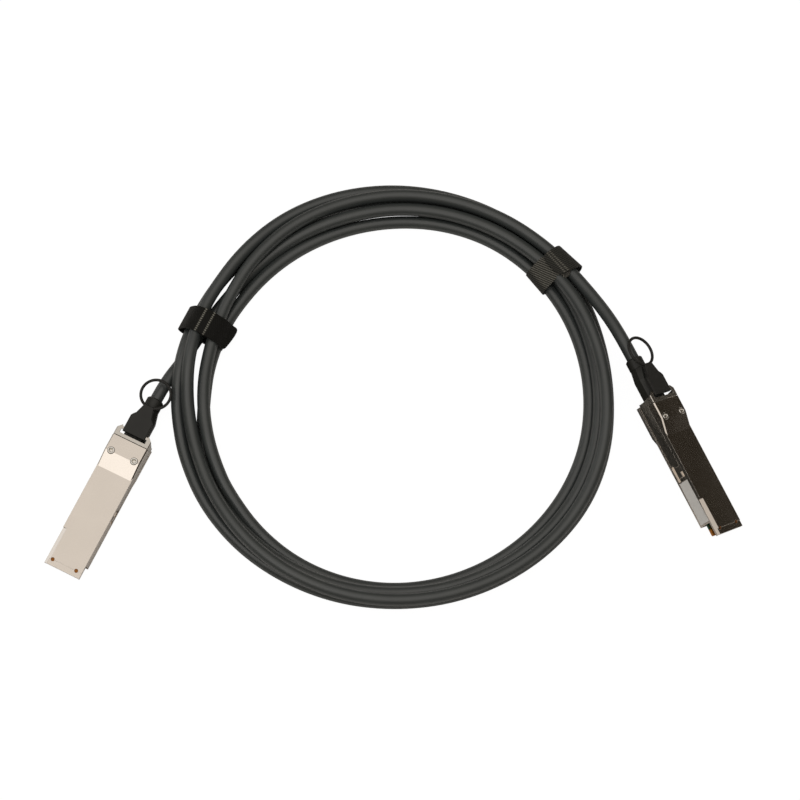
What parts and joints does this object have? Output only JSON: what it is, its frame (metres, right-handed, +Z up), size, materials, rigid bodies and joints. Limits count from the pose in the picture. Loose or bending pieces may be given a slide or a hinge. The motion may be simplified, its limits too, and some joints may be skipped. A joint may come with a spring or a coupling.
{
  "type": "direct attach copper cable",
  "caption": "Coiled passive direct attach copper cable with pluggable metal connector modules, sprung pull-tab latches and hook-and-loop ties.",
  "frame": {"origin": "on the table, centred under the two plugs", "axes": "+Z up, +X from the left plug to the right plug, +Y from the plugs' noses to the coil"},
  "size_m": [0.3256, 0.2116, 0.0254],
  "materials": {
    "die_cast_shell": "satin nickel plate on zinc die casting",
    "pin_bronze": "dull bronze",
    "rivet_steel": "bright",
    "stamped_steel": "satin stainless",
    "tab_elastomer": "satin moulded",
    "spring_steel": "drawn wire",
    "card_laminate": "solder mask over glass epoxy",
    "gold_plate": "hard gold plate",
    "chip_resin": "moulded resin",
    "crimp_brass": "drawn, nickel flashed",
    "pair_insulation": "foil wrapped pairs",
    "boot_elastomer": "satin moulded",
    "label_film": "blank satin film",
    "cable_jacket": "matte PVC",
    "strap_weave": "woven hook and loop"
  },
  "bodies": {
    "cable": {"cable_coil": "cable_jacket", "upper_shell_left": "die_cast_shell", "lower_shell_left": "die_cast_shell", "rivets_left": "rivet_steel", "nose_pins_left": "pin_bronze", "return_springs_left": "spring_steel", "paddle_card_left": "card_laminate", "gold_contacts_left": "gold_plate", "id_chip_left": "chip_resin", "crimp_ferrule_left": "crimp_brass", "wire_pairs_left": "pair_insulation", "strain_relief_boot_left": "boot_elastomer", "side_label_left": "label_film", "cable_tail_left": "cable_jacket", "strap_left": "strap_weave", "upper_shell_right": "die_cast_shell", "lower_shell_right": "die_cast_shell", "rivets_right": "rivet_steel", "nose_pins_right": "pin_bronze", "return_springs_right": "spring_steel", "paddle_card_right": "card_laminate", "gold_contacts_right": "gold_plate", "id_chip_right": "chip_resin", "crimp_ferrule_right": "crimp_brass", "wire_pairs_right": "pair_insulation", "strain_relief_boot_right": "boot_elastomer", "side_label_right": "label_film", "cable_tail_right": "cable_jacket", "strap_right": "strap_weave"},
    "latch_left": {"latch_slider_left": "stamped_steel", "pull_tab_left": "tab_elastomer"},
    "latch_right": {"latch_slider_right": "stamped_steel", "pull_tab_right": "tab_elastomer"}
  },
  "joints": [
    {"name": "latch_pull_left", "type": "slide", "parent": "cable", "child": "latch_left", "axis": [0.4461, 0.8947, 0.021], "range_m": [0, 0.0023], "stiffness_N_per_m": 300, "deforming": ["return_springs_left"]},
    {"name": "latch_pull_right", "type": "slide", "parent": "cable", "child": "latch_right", "axis": [-0.4449, 0.8923, 0.0767], "range_m": [0, 0.0023], "stiffness_N_per_m": 300, "deforming": ["return_springs_right"]}
  ]
}
